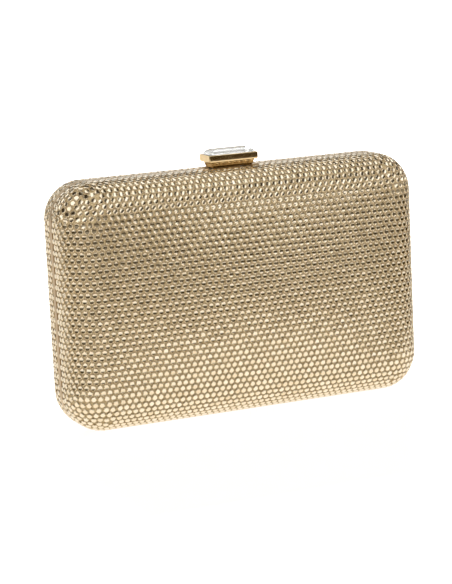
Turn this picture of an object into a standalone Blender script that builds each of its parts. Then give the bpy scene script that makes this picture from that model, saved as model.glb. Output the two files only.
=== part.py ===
"""Evening clutch: a hard two-half case covered in crystal mesh, hinged along its base and closed by a
push-down clasp on top.

Frame: X along the width, Y through the depth with the front at -Y, Z up. The seam between the two
halves is the plane Y = 0 and the case stands on Z = 0. Units are metres.
"""

import math

import bmesh
import bpy
from mathutils import Matrix, Vector

# ---------------------------------------------------------------- driving dimensions
WIDTH = 0.1700
HEIGHT = 0.1088
CORNER_R = 0.0168  # corner of the outline, seen from the front
SIDE_FLAT = 0.0054  # flat band on each half, from the seam to where the edge starts to turn
EDGE_R = 0.01355  # turn from the band into the face
CORNER_SHRINK = 0.6  # how fast the outline's corner tightens along that turn
DOME = 0.0040  # rise of the face at its centre

GAP = 0.0003  # clearance between neighbouring pieces
SEAM = 0.00015  # each frame stands this far from the seam plane

COVER_T = 0.0016  # crystal mesh with its backing
SHELL_T = 0.0018
FRAME_T = 0.0009
BOARD_T = 0.0010
LINING_T = 0.0005
FLANGE_DEPTH = 0.0050  # how far the frame's flange reaches into its half

HINGE_LENGTH = 0.0960
HINGE_Z = 0.0016
KNUCKLES = 8
KNUCKLE_R = 0.0015
KNUCKLE_BORE_R = 0.00085
PIN_R = 0.00055
LEAF_T = 0.0008
LEAF_Y = 0.00045  # the leaf's upright face nearest the seam
LEAF_REACH = 0.0048
RIVET_X = (-0.038, -0.014, 0.014, 0.038)
RIVET_Y = 0.0032
RELIEF_Y = 0.0022  # the bottom walls stop here so the halves clear each other when they swing
RELIEF_X = 0.0780
RELIEF_Z = 0.0019

TRAVEL = 0.0010  # the clasp button's stroke
STEM_X = 0.0075
STEM_Y = 0.0030
STEM_R = 0.0009
STEM_HOLE_R = STEM_R + GAP
ESCUTCHEON_X = 0.0100
ESCUTCHEON_T = 0.0004
HOOK_HALF_W = 0.0040
HOOK_RIVET_X = 0.0022
BARB_DROP = 0.0011
KEEPER_X = 0.0090
KEEPER_T = 0.0010
CLIP_R = 0.0020
CLIP_T = 0.0005
SPRING_R = 0.0015
SPRING_WIRE_R = 0.0002
SPRING_TURNS = 3
BRACKET_X = 0.0109
BRACKET_T = 0.0008
EAR_X = 0.0160
SCREW_X = 0.0138
SCREW_Y = 0.0031
PLATE_END_Y = 0.0049  # plates under the flange stop short of the lining
FASTENER_R = 0.0007
FASTENER_HOLE_R = FASTENER_R + GAP
FASTENER_HEAD_R = 0.0014
FASTENER_HEAD_T = 0.0006

CUP_X = 0.01175  # half sizes of the clasp's cup at its rim
CUP_Y = 0.0055
CUP_WALL = 0.0008
CUP_FOOT_X = 0.0096
CUP_FOOT_Y = 0.0036
CUP_FLARE = 0.0024  # height of the flared foot
CUP_CHAMFER = 0.0012
CUP_BAND = 0.0021
CUP_DEPTH = 0.0022
CROWN = 0.0021  # the crystal's rise above its girdle
FOIL_T = 0.0003

CORNER_SEGMENTS = 5
EDGE_SEGMENTS = 4
LONG_SEGMENTS = 4
SHORT_SEGMENTS = 3
FACE_SCALES = (0.66, 0.33)

# ---------------------------------------------------------------- derived places
SHELL_IN = COVER_T + GAP
FLANGE_IN = SHELL_IN + SHELL_T + GAP
FLANGE_FACE = FLANGE_IN + FRAME_T
LINING_IN = FLANGE_IN + BOARD_T + GAP
RIM_Y = SEAM + FRAME_T + GAP  # covers and shells start behind the frame's lip
BOARD_Y = FLANGE_DEPTH + GAP

LEAF_Z = FLANGE_FACE + GAP  # underside of the leaf's flat part, above the flange
FLANGE_TOP_Z = HEIGHT - FLANGE_FACE  # underside of the flange along the top
PLATE_TOP_Z = FLANGE_TOP_Z - GAP  # plates hung from that flange
PLATE_Z = PLATE_TOP_Z - BRACKET_T
BARB_Z = PLATE_Z - BARB_DROP
KEEPER_TOP_Z = BARB_Z - GAP
KEEPER_Z = KEEPER_TOP_Z - KEEPER_T
CLIP_Z = KEEPER_Z - GAP - CLIP_T
STEM_Z = CLIP_Z - 0.0020
BRACKET_FLOOR_Z = STEM_Z - TRAVEL - 2 * GAP
ESCUTCHEON_TOP_Z = HEIGHT - COVER_T + ESCUTCHEON_T
CUP_Z = ESCUTCHEON_TOP_Z + TRAVEL + GAP
STEM_TOP_Z = CUP_Z + 0.0025
CUP_TOP_Z = CUP_Z + CUP_FLARE + CUP_CHAMFER + CUP_BAND
CUP_FLOOR_Z = CUP_TOP_Z - CUP_DEPTH

GOLD = ("polished_gold", (0.86, 0.66, 0.38), 1.0, 0.18)
SATIN_GOLD = ("satin_gold", (0.80, 0.62, 0.36), 1.0, 0.35)
STEEL = ("spring_steel", (0.62, 0.62, 0.62), 1.0, 0.3)
CRYSTAL_MESH = ("champagne_crystal_mesh", (0.78, 0.66, 0.46), 0.6, 0.25)
MOULDING = ("case_moulding", (0.55, 0.45, 0.32), 0.0, 0.5)
BOARD = ("lining_board", (0.60, 0.52, 0.42), 0.0, 0.9)
SATIN = ("lining_satin", (0.74, 0.60, 0.42), 0.0, 0.45)
CLEAR_CRYSTAL = ("clear_crystal", (0.95, 0.96, 0.95), 0.0, 0.05)
FOIL = ("crystal_foil", (0.85, 0.82, 0.76), 1.0, 0.1)


# ---------------------------------------------------------------- scene and helpers
def clear_scene():
    for obj in list(bpy.data.objects):
        bpy.data.objects.remove(obj, do_unlink=True)


def new_collection(name):
    collection = bpy.data.collections.new(name)
    bpy.context.scene.collection.children.link(collection)
    return collection


def material(spec):
    name, colour, metallic, roughness = spec
    existing = bpy.data.materials.get(name)
    if existing:
        return existing
    made = bpy.data.materials.new(name)
    made.use_nodes = True
    shader = made.node_tree.nodes["Principled BSDF"]
    shader.inputs["Base Color"].default_value = (*colour, 1.0)
    shader.inputs["Metallic"].default_value = metallic
    shader.inputs["Roughness"].default_value = roughness
    return made


def add_object(name, data, collection, finish=None):
    obj = bpy.data.objects.new(name, data)
    collection.objects.link(obj)
    if finish:
        data.materials.append(material(finish))
    return obj


def mesh_from(name, bm):
    mesh = bpy.data.meshes.new(name)
    bm.to_mesh(mesh)
    bm.free()
    return mesh


def smooth(obj, angle_deg=35.0):
    obj.data.shade_smooth()
    obj.data.set_sharp_from_angle(angle=math.radians(angle_deg))


def box(name, low, high, collection, finish=None, bevel=0.0):
    low, high = Vector(low), Vector(high)
    bm = bmesh.new()
    bmesh.ops.create_cube(bm, size=1.0, matrix=Matrix.Diagonal((*(high - low), 1.0)))
    obj = add_object(name, mesh_from(name, bm), collection, finish)
    obj.location = (low + high) / 2
    if bevel:
        rounding = obj.modifiers.new("edges", "BEVEL")
        rounding.width = bevel
        rounding.segments = 2
    return obj


def rod(name, radius, start, end, collection, sides=16):
    """A cylinder between two points."""
    start, end = Vector(start), Vector(end)
    bm = bmesh.new()
    bmesh.ops.create_cone(
        bm, cap_ends=True, segments=sides, radius1=radius, radius2=radius, depth=(end - start).length
    )
    obj = add_object(name, mesh_from(name, bm), collection)
    obj.location = (start + end) / 2
    obj.rotation_euler = (end - start).to_track_quat("Z", "Y").to_euler()
    return obj


def turned(name, profile, location, finish, sides=16):
    """A solid of revolution about Z from (radius, height) points that run down its outer side."""
    bm = bmesh.new()
    points = [bm.verts.new((radius, 0.0, height)) for radius, height in profile]
    for upper, lower in zip(points, points[1:]):
        bm.edges.new((upper, lower))
    obj = add_object(name, mesh_from(name, bm), PARTS, finish)
    obj.location = location
    screw = obj.modifiers.new("turn", "SCREW")
    screw.axis = "Z"
    screw.steps = sides
    screw.render_steps = sides
    screw.use_merge_vertices = True
    screw.merge_threshold = 0.00001
    return obj


def plate(name, outline, thickness, frame, finish):
    """A flat piece: a closed outline of 2D points, extruded to a thickness and placed by a matrix."""
    curve = bpy.data.curves.new(name, "CURVE")
    curve.dimensions = "2D"
    curve.fill_mode = "BOTH"
    curve.extrude = thickness / 2
    spline = curve.splines.new("POLY")
    spline.points.add(len(outline) - 1)
    for point, (u, v) in zip(spline.points, outline):
        point.co = (u, v, 0.0, 1.0)
    spline.use_cyclic_u = True
    flat = add_object(name + "_outline", curve, PARTS)
    bpy.context.view_layer.update()
    mesh = bpy.data.meshes.new_from_object(flat.evaluated_get(bpy.context.evaluated_depsgraph_get()))
    bpy.data.objects.remove(flat, do_unlink=True)
    bpy.data.curves.remove(curve)
    bm = bmesh.new()
    bm.from_mesh(mesh)
    bpy.data.meshes.remove(mesh)
    bmesh.ops.remove_doubles(bm, verts=bm.verts, dist=0.000001)
    obj = add_object(name, mesh_from(name, bm), PARTS, finish)
    obj.matrix_world = frame
    return obj


def cut(obj, *cutters):
    for cutter in cutters:
        boolean = obj.modifiers.new(cutter.name, "BOOLEAN")
        boolean.operation = "DIFFERENCE"
        boolean.solver = "EXACT"
        boolean.object = cutter


def hang_on(parent, pieces):
    """Parents pieces to an empty without moving them."""
    for piece in pieces:
        piece.parent = parent
        piece.matrix_parent_inverse = Matrix.Translation(-parent.location)


def axis_empty(name, location):
    empty = add_object(name, None, PARTS)
    empty.location = location
    empty.empty_display_size = 0.01
    return empty


# ---------------------------------------------------------------- lofted surfaces
def rounded_outline(half_w, half_h, radius, corner_segments, side_segments):
    """(x, z) points of a rounded rectangle about the origin, anticlockwise from +X."""
    points = []
    signs = ((1, 1), (-1, 1), (-1, -1), (1, -1))
    for quarter, (sx, sz) in enumerate(signs):
        centre = Vector((sx * (half_w - radius), sz * (half_h - radius)))
        for step in range(corner_segments + 1):
            angle = math.radians(90) * (quarter + step / corner_segments)
            points.append(centre + radius * Vector((math.cos(angle), math.sin(angle))))
        next_sx, next_sz = signs[(quarter + 1) % 4]
        turn = math.radians(90) * (quarter + 1)
        next_centre = Vector((next_sx * (half_w - radius), next_sz * (half_h - radius)))
        following = next_centre + radius * Vector((math.cos(turn), math.sin(turn)))
        count = side_segments[quarter % 2]
        points += [points[-1].lerp(following, step / count) for step in range(1, count)]
    return points


def case_outline(inset, drop):
    """The case's outline, `inset` inside the outer surface and `drop` into the turn of the edge."""
    radius = CORNER_R - inset - CORNER_SHRINK * drop
    return rounded_outline(
        WIDTH / 2 - inset - drop,
        HEIGHT / 2 - inset - drop,
        radius,
        CORNER_SEGMENTS,
        (LONG_SEGMENTS, SHORT_SEGMENTS),
    )


def case_ring(inset, drop, y):
    return [Vector((x, y, z + HEIGHT / 2)) for x, z in case_outline(inset, drop)]


def dome_height(x, z):
    """How far the face rises at (x, z), measured from the middle of the case."""
    return DOME * (1 - (2 * x / WIDTH) ** 2) * (1 - (2 * z / HEIGHT) ** 2)


def tray_rings(inset, rim_y):
    """Rings of one half's surface, from its rim round the edge and over the domed face."""
    edge = EDGE_R - inset
    rings = [case_ring(inset, 0.0, rim_y)]
    if rim_y < SIDE_FLAT - 0.001:
        rings.append(case_ring(inset, 0.0, SIDE_FLAT))
    for step in range(1, EDGE_SEGMENTS + 1):
        angle = math.radians(90) * step / EDGE_SEGMENTS
        ring = []
        for x, z in case_outline(inset, edge * (1 - math.cos(angle))):
            y = SIDE_FLAT + (edge + dome_height(x, z)) * math.sin(angle)
            ring.append(Vector((x, y, z + HEIGHT / 2)))
        rings.append(ring)
    for scale in FACE_SCALES:
        ring = []
        for x, z in case_outline(inset, edge):
            y = SIDE_FLAT + edge + dome_height(x * scale, z * scale)
            ring.append(Vector((x * scale, y, z * scale + HEIGHT / 2)))
        rings.append(ring)
    rings.append([Vector((0.0, SIDE_FLAT + edge + DOME, HEIGHT / 2))])
    return rings


def skin(name, rings, side, finish):
    """An open surface through rings of points; the last may be a single point. side mirrors it in Y."""
    bm = bmesh.new()
    loops = [[bm.verts.new((p.x, side * p.y, p.z)) for p in ring] for ring in rings]
    for first, second in zip(loops, loops[1:]):
        count = len(first)
        for index in range(count):
            following = (index + 1) % count
            if len(second) == 1:
                corners = [first[index], second[0], first[following]]
            else:
                corners = [first[index], second[index], second[following], first[following]]
            bm.faces.new(corners if side > 0 else corners[::-1])
    return add_object(name, mesh_from(name, bm), PARTS, finish)


def thicken(obj, thickness):
    solidify = obj.modifiers.new("thickness", "SOLIDIFY")
    solidify.thickness = thickness
    solidify.offset = -1.0
    solidify.use_even_offset = True
    solidify.use_quality_normals = True
    return obj


def tray(name, side, inset, rim_y, thickness, finish):
    obj = thicken(skin(name, tray_rings(inset, rim_y), side, finish), thickness)
    smooth(obj)
    return obj


def stacked_solid(name, sections, finish, corner_segments=2):
    """A closed solid through level rounded rectangles (half x, half y, corner radius, z), capped at
    both ends. The sections may climb the outside and come back down inside, which makes a cup."""
    bm = bmesh.new()
    loops = []
    for half_x, half_y, radius, z in sections:
        outline = rounded_outline(half_x, half_y, radius, corner_segments, (1, 1))
        loops.append([bm.verts.new((u, v, z)) for u, v in outline])
    bm.faces.new(loops[0][::-1])
    bm.faces.new(loops[-1])
    for first, second in zip(loops, loops[1:]):
        for index in range(len(first)):
            following = (index + 1) % len(first)
            bm.faces.new((first[index], first[following], second[following], second[index]))
    return add_object(name, mesh_from(name, bm), PARTS, finish)


# ---------------------------------------------------------------- the two halves
def make_half(prefix, side):
    """Cover, shell, frame, board and lining of one half; side is +1 for the back, -1 for the front."""
    return {
        "cover": tray(prefix + "_crystal_cover", side, 0.0, RIM_Y, COVER_T, CRYSTAL_MESH),
        "shell": tray(prefix + "_shell", side, SHELL_IN, RIM_Y, SHELL_T, MOULDING),
        "frame": make_frame(prefix + "_frame", side),
        "board": tray(prefix + "_lining_board", side, FLANGE_IN, BOARD_Y, BOARD_T, BOARD),
        "lining": tray(prefix + "_lining", side, LINING_IN, BOARD_Y, LINING_T, SATIN),
    }


def make_frame(name, side):
    """An L-section ring: a lip across the seam face and a flange that reaches into the half."""
    rings = [
        case_ring(FLANGE_FACE, 0.0, FLANGE_DEPTH),
        case_ring(FLANGE_FACE, 0.0, SEAM),
        case_ring(0.0, 0.0, SEAM),
    ]
    frame = thicken(skin(name, rings, side, GOLD), FRAME_T)
    smooth(frame)
    return frame


def relieve_for_hinge(half, side):
    """Opens the bottom walls and the frame where the hinge lies and where the halves swing."""
    cut(half["cover"], CUTTERS["bottom_relief"], CUTTERS["hinge_notch"])
    cut(half["shell"], CUTTERS["hinge_notch"])
    cut(half["frame"], CUTTERS["bottom_relief"], CUTTERS["leaf_notch"])
    for index in range(len(RIVET_X)):
        cut(half["frame"], CUTTERS[f"rivet_hole_{side}_{index}"])


# ---------------------------------------------------------------- hinge
def leaf_outline():
    """(y, z) points of a hinge leaf: its knuckle, the upright beside it and the flat riveted part."""
    inner, outer = LEAF_Y, LEAF_Y + LEAF_T
    top = LEAF_Z + LEAF_T
    start = math.acos(outer / KNUCKLE_R)
    sweep = 2 * math.pi - (math.acos(inner / KNUCKLE_R) - start)
    steps = 14
    outline = [(inner, top), (LEAF_REACH, top), (LEAF_REACH, LEAF_Z), (outer, LEAF_Z)]
    for step in range(steps + 1):
        angle = start - sweep * step / steps
        outline.append((KNUCKLE_R * math.cos(angle), HINGE_Z + KNUCKLE_R * math.sin(angle)))
    return outline


def make_leaf(name, side, first_gap):
    """side places the leaf; first_gap is the first knuckle that belongs to the other leaf."""
    frame = Matrix(((0, 0, 1, 0), (side, 0, 0, 0), (0, 1, 0, 0), (0, 0, 0, 1)))
    leaf = plate(name, leaf_outline(), HINGE_LENGTH, frame, SATIN_GOLD)
    if side < 0:
        bake_mirror(leaf)
    cut(leaf, CUTTERS["knuckle_bore"])
    pitch = HINGE_LENGTH / KNUCKLES
    for index in range(first_gap, KNUCKLES, 2):
        start = -HINGE_LENGTH / 2 + index * pitch
        low = (start - GAP / 2, -0.002, -0.001)
        high = (start + pitch + GAP / 2, 0.002, HINGE_Z + KNUCKLE_R + GAP + 0.0002)
        if index == 0:
            low = (start - 0.001, *low[1:])
        if index == KNUCKLES - 1:
            high = (start + pitch + 0.001, *high[1:])
        cut(leaf, box(f"{name}_gap_{index}", low, high, CUTTER_SHAPES))
    for index in range(len(RIVET_X)):
        cut(leaf, CUTTERS[f"rivet_hole_{side}_{index}"])
    return leaf


def bake_mirror(obj):
    """Applies a mirroring matrix to the mesh, so that its faces still point out."""
    obj.data.transform(obj.matrix_world)
    obj.data.flip_normals()
    obj.matrix_world = Matrix.Identity(4)


def fastener_profile(length):
    """A round-headed fastener pointing down from its head, whose underside is at height 0."""
    head = FASTENER_HEAD_R
    return [
        (0.0, FASTENER_HEAD_T),
        (0.55 * head, 0.9 * FASTENER_HEAD_T),
        (0.9 * head, 0.5 * FASTENER_HEAD_T),
        (head, 0.0),
        (FASTENER_R, 0.0),
        (FASTENER_R, -length),
        (0.0, -length),
    ]


def make_hinge_rivets(prefix, side):
    head_z = LEAF_Z + LEAF_T + GAP
    length = head_z - FLANGE_IN - 0.0001
    rivets = []
    for index, x in enumerate(RIVET_X):
        place = (x, side * RIVET_Y, head_z)
        rivets.append(turned(f"{prefix}_hinge_rivet_{index + 1}", fastener_profile(length), place, GOLD, 10))
        smooth(rivets[-1])
    return rivets


def make_hinge_pin():
    half = HINGE_LENGTH / 2
    tip = 0.0002
    profile = [(0.0, half), (PIN_R - tip, half), (PIN_R, half - tip)]
    profile += [(radius, -height) for radius, height in reversed(profile)]
    pin = turned("hinge_pin", profile, (0.0, 0.0, HINGE_Z), STEEL, 12)
    pin.rotation_euler = (0.0, math.radians(90), 0.0)
    smooth(pin)
    return pin


# ---------------------------------------------------------------- catch and latch
def make_hook():
    """An arm riveted under the front flange that crosses the seam and ends in a downward barb."""
    outline = [
        (-PLATE_END_Y, PLATE_TOP_Z),
        (PLATE_END_Y, PLATE_TOP_Z),
        (PLATE_END_Y, BARB_Z + 0.0003),
        (PLATE_END_Y - 0.0003, BARB_Z),
        (PLATE_END_Y - 0.0008, BARB_Z),
        (PLATE_END_Y - 0.0008, PLATE_Z),
        (-PLATE_END_Y, PLATE_Z),
    ]
    frame = Matrix(((0, 0, 1, 0), (1, 0, 0, 0), (0, 1, 0, 0), (0, 0, 0, 1)))
    hook = plate("catch_hook", outline, 2 * HOOK_HALF_W, frame, SATIN_GOLD)
    cut(hook, CUTTERS["hook_hole_0"], CUTTERS["hook_hole_1"])
    return hook


def make_hung_fastener(name, x, y, finish, slotted):
    """A fastener through a plate and the flange above it, its head below the plate."""
    head_z = PLATE_Z - GAP
    length = FLANGE_TOP_Z + FRAME_T - 0.0001 - head_z
    fastener = turned(name, fastener_profile(length), (x, y, head_z), finish, 10)
    fastener.rotation_euler = (math.radians(180), 0.0, 0.0)
    if slotted:
        under = head_z - FASTENER_HEAD_T
        low = (x - 0.002, y - 0.0002, under - 0.0002)
        high = (x + 0.002, y + 0.0002, under + 0.00035)
        cut(fastener, box(name + "_slot", low, high, CUTTER_SHAPES))
    smooth(fastener)
    return fastener


def make_bracket():
    """A hat-shaped strip under the back flange that holds the springs below the keeper."""
    inner_x = BRACKET_X - BRACKET_T
    floor_top = BRACKET_FLOOR_Z
    half = [
        (BRACKET_X, floor_top - BRACKET_T),
        (BRACKET_X, PLATE_Z),
        (EAR_X, PLATE_Z),
        (EAR_X, PLATE_TOP_Z),
        (inner_x, PLATE_TOP_Z),
        (inner_x, floor_top),
    ]
    outline = half + [(-x, z) for x, z in reversed(half)]
    low_y, high_y = 0.0014, PLATE_END_Y
    frame = Matrix(((1, 0, 0, 0), (0, 0, -1, (low_y + high_y) / 2), (0, 1, 0, 0), (0, 0, 0, 1)))
    bracket = plate("latch_bracket", outline, high_y - low_y, frame, SATIN_GOLD)
    cut(bracket, CUTTERS["screw_hole_0"], CUTTERS["screw_hole_1"])
    return bracket


def make_keeper():
    """The cross-bar that the hook's barb catches, notched where the barb drops behind it."""
    front, back, notch, notch_x = 0.0010, 0.0048, 0.0038, 0.0046
    half = [(KEEPER_X, front), (KEEPER_X, back), (notch_x, back), (notch_x, notch)]
    outline = half + [(-x, y) for x, y in reversed(half)]
    middle = (KEEPER_Z + KEEPER_TOP_Z) / 2
    keeper = plate("latch_keeper", outline, KEEPER_T, Matrix.Translation((0, 0, middle)), STEEL)
    cut(keeper, CUTTERS["stem_hole_0"], CUTTERS["stem_hole_1"])
    return keeper


def make_stem(index, x):
    tip = 0.0002
    length = STEM_TOP_Z - STEM_Z
    profile = [(0.0, length), (STEM_R - tip, length), (STEM_R, length - tip)]
    profile += [(STEM_R, tip), (STEM_R - tip, 0.0), (0.0, 0.0)]
    stem = turned(f"button_stem_{index + 1}", profile, (x, STEM_Y, STEM_Z), STEEL)
    smooth(stem)
    return stem


def make_clip(index, x):
    """A push-on ring that holds the keeper up on its stem."""
    clip = turned(
        f"stem_clip_{index + 1}",
        [(0.0, CLIP_T), (CLIP_R, CLIP_T), (CLIP_R, 0.0), (0.0, 0.0)],
        (x, STEM_Y, CLIP_Z),
        STEEL,
    )
    cut(clip, CUTTERS[f"stem_hole_{index}"])
    smooth(clip)
    return clip


def make_spring(index, x):
    """A return spring standing on the bracket's floor around the foot of its stem."""
    low = BRACKET_FLOOR_Z + GAP + SPRING_WIRE_R
    high = CLIP_Z - GAP - SPRING_WIRE_R
    per_turn = 10
    count = SPRING_TURNS * per_turn + 1
    curve = bpy.data.curves.new("latch_spring", "CURVE")
    curve.dimensions = "3D"
    curve.bevel_depth = SPRING_WIRE_R
    curve.bevel_resolution = 2
    curve.use_fill_caps = True
    spline = curve.splines.new("POLY")
    spline.points.add(count - 1)
    for step, point in enumerate(spline.points):
        angle = 2 * math.pi * step / per_turn
        z = low + (high - low) * step / (count - 1)
        point.co = (SPRING_R * math.cos(angle), SPRING_R * math.sin(angle), z, 1.0)
    spring = add_object(f"latch_spring_{index + 1}", curve, PARTS, STEEL)
    spring.location = (x, STEM_Y, 0.0)
    return spring


# ---------------------------------------------------------------- clasp button
def make_escutcheon(name, side):
    """A plate let into the top of one half's cover, below the clasp's foot."""
    near, far = sorted((side * RIM_Y, side * SIDE_FLAT))
    low = (-ESCUTCHEON_X, near, HEIGHT - COVER_T)
    high = (ESCUTCHEON_X, far, ESCUTCHEON_TOP_Z)
    return box(name, low, high, PARTS, GOLD, bevel=0.0001)


def make_cup():
    """The gold cup: a narrow foot that flares to an upright band, hollow above."""
    shoulder = CUP_Z + CUP_FLARE
    band = shoulder + CUP_CHAMFER
    rim, corner = 0.00015, 0.0008
    inner_x, inner_y = CUP_X - CUP_WALL, CUP_Y - CUP_WALL
    sections = [
        (CUP_FOOT_X, CUP_FOOT_Y, corner, CUP_Z),
        (CUP_X - CUP_CHAMFER, CUP_Y - CUP_CHAMFER, corner, shoulder),
        (CUP_X, CUP_Y, corner, band),
        (CUP_X, CUP_Y, corner, CUP_TOP_Z - rim),
        (CUP_X - rim, CUP_Y - rim, corner - rim, CUP_TOP_Z),
        (inner_x, inner_y, corner / 2, CUP_TOP_Z),
        (inner_x, inner_y, corner / 2, CUP_FLOOR_Z),
    ]
    cup = stacked_solid("clasp_cup", sections, GOLD)
    cut(cup, CUTTERS["stem_hole_0"], CUTTERS["stem_hole_1"])
    return cup


def make_crystal():
    """An emerald-cut stone: a stepped pavilion in the cup, a girdle, and a bevelled crown."""
    foot_z = CUP_FLOOR_Z + 2 * GAP + FOIL_T
    girdle_z = CUP_TOP_Z + 0.0001
    half_x, half_y = CUP_X - CUP_WALL - GAP, CUP_Y - CUP_WALL - GAP
    corner = 0.0012
    sections = [
        (half_x - 0.0022, half_y - 0.0022, corner * 0.6, foot_z),
        (half_x - 0.0009, half_y - 0.0009, corner * 0.8, foot_z + 0.0006),
        (half_x, half_y, corner, girdle_z - 0.0003),
        (half_x, half_y, corner, girdle_z),
        (half_x - 0.0011, half_y - 0.0011, corner * 0.8, girdle_z + 0.65 * CROWN),
        (half_x - 0.0023, half_y - 0.0020, corner * 0.6, girdle_z + CROWN),
    ]
    return stacked_solid("clasp_crystal", sections, CLEAR_CRYSTAL, corner_segments=1)


def make_foil():
    half_x, half_y = CUP_X - CUP_WALL - GAP, CUP_Y - CUP_WALL - GAP
    low = (-half_x, -half_y, CUP_FLOOR_Z + GAP)
    high = (half_x, half_y, CUP_FLOOR_Z + GAP + FOIL_T)
    return box("crystal_foil", low, high, PARTS, FOIL)


# ---------------------------------------------------------------- cutters
def make_cutters():
    hinge_x = HINGE_LENGTH / 2 + 2 * GAP
    below = -0.001
    shapes = {
        "bottom_relief": box(
            "bottom_relief", (-RELIEF_X, -RELIEF_Y, below), (RELIEF_X, RELIEF_Y, RELIEF_Z), CUTTER_SHAPES
        ),
        "hinge_notch": box(
            "hinge_notch",
            (-hinge_x, -RELIEF_Y, below),
            (hinge_x, RELIEF_Y, SHELL_IN + SHELL_T + 0.0001),
            CUTTER_SHAPES,
        ),
        "leaf_notch": box(
            "leaf_notch",
            (-hinge_x, -(LEAF_Y + LEAF_T + GAP), below),
            (hinge_x, LEAF_Y + LEAF_T + GAP, FLANGE_FACE + 0.0001),
            CUTTER_SHAPES,
        ),
        "knuckle_bore": rod(
            "knuckle_bore",
            KNUCKLE_BORE_R,
            (-HINGE_LENGTH, 0.0, HINGE_Z),
            (HINGE_LENGTH, 0.0, HINGE_Z),
            CUTTER_SHAPES,
        ),
        "clasp_window": box(
            "clasp_window",
            (-ESCUTCHEON_X - GAP, -SIDE_FLAT - GAP, HEIGHT - COVER_T - 0.0001),
            (ESCUTCHEON_X + GAP, SIDE_FLAT + GAP, HEIGHT + 0.001),
            CUTTER_SHAPES,
        ),
    }
    for side in (-1, 1):
        for index, x in enumerate(RIVET_X):
            name = f"rivet_hole_{side}_{index}"
            low, high = (x, side * RIVET_Y, 0.0038), (x, side * RIVET_Y, 0.0065)
            shapes[name] = rod(name, FASTENER_HOLE_R, low, high, CUTTER_SHAPES, 12)
    for index, sign in enumerate((-1, 1)):
        spots = {
            "hook_hole": (sign * HOOK_RIVET_X, -STEM_Y, FASTENER_HOLE_R),
            "screw_hole": (sign * SCREW_X, SCREW_Y, FASTENER_HOLE_R),
        }
        for label, (x, y, radius) in spots.items():
            name = f"{label}_{index}"
            low, high = (x, y, PLATE_Z - 0.0003), (x, y, FLANGE_TOP_Z + FRAME_T + 0.0002)
            shapes[name] = rod(name, radius, low, high, CUTTER_SHAPES, 12)
        name = f"stem_hole_{index}"
        low = (sign * STEM_X, STEM_Y, STEM_Z)
        high = (sign * STEM_X, STEM_Y, STEM_TOP_Z + GAP)
        shapes[name] = rod(name, STEM_HOLE_R, low, high, CUTTER_SHAPES)
    return shapes


def hide_cutters():
    for cutter in CUTTER_SHAPES.objects:
        cutter.hide_render = True
        cutter.display_type = "WIRE"


# ---------------------------------------------------------------- assembly
def main():
    back = make_half("back", 1)
    front = make_half("front", -1)
    relieve_for_hinge(back, 1)
    relieve_for_hinge(front, -1)

    stem_holes = [CUTTERS["stem_hole_0"], CUTTERS["stem_hole_1"]]
    for piece in (back["cover"], front["cover"], back["frame"], front["frame"]):
        cut(piece, CUTTERS["clasp_window"])
    cut(back["shell"], *stem_holes)
    cut(back["frame"], *stem_holes, CUTTERS["screw_hole_0"], CUTTERS["screw_hole_1"])
    cut(front["frame"], CUTTERS["hook_hole_0"], CUTTERS["hook_hole_1"])

    make_leaf("hinge_leaf_back", 1, 1)
    make_hinge_rivets("back", 1)
    make_hinge_pin()
    cut(make_escutcheon("back_escutcheon", 1), *stem_holes)
    make_bracket()
    make_hung_fastener("bracket_screw_1", -SCREW_X, SCREW_Y, STEEL, True)
    make_hung_fastener("bracket_screw_2", SCREW_X, SCREW_Y, STEEL, True)

    front_axis = axis_empty("front_half_axis", (0.0, 0.0, HINGE_Z))
    swinging = list(front.values())
    swinging.append(make_leaf("hinge_leaf_front", -1, 0))
    swinging += make_hinge_rivets("front", -1)
    swinging.append(make_escutcheon("front_escutcheon", -1))
    swinging.append(make_hook())
    swinging.append(make_hung_fastener("hook_rivet_1", -HOOK_RIVET_X, -STEM_Y, GOLD, False))
    swinging.append(make_hung_fastener("hook_rivet_2", HOOK_RIVET_X, -STEM_Y, GOLD, False))
    hang_on(front_axis, swinging)

    button_axis = axis_empty("clasp_button_axis", (0.0, 0.0, CUP_Z))
    pressed = [make_cup(), make_foil(), make_crystal(), make_keeper()]
    for index, sign in enumerate((-1, 1)):
        pressed += [make_stem(index, sign * STEM_X), make_clip(index, sign * STEM_X)]
        make_spring(index, sign * STEM_X)
    hang_on(button_axis, pressed)
    hide_cutters()


clear_scene()
PARTS = new_collection("evening_clutch")
CUTTER_SHAPES = new_collection("cutters")
CUTTERS = make_cutters()
main()
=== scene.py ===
"""Looks for the evening clutch: crystals, gold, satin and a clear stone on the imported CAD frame.

Units are metres, +Z up, the front face looks towards -Y and the seam is the plane Y = 0.
"""

import math
import random

import bmesh
import bpy
import numpy as np
from mathutils import Matrix, Vector
from mathutils.bvhtree import BVHTree
from mathutils.interpolate import poly_3d_calc
from mathutils.kdtree import KDTree


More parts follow.
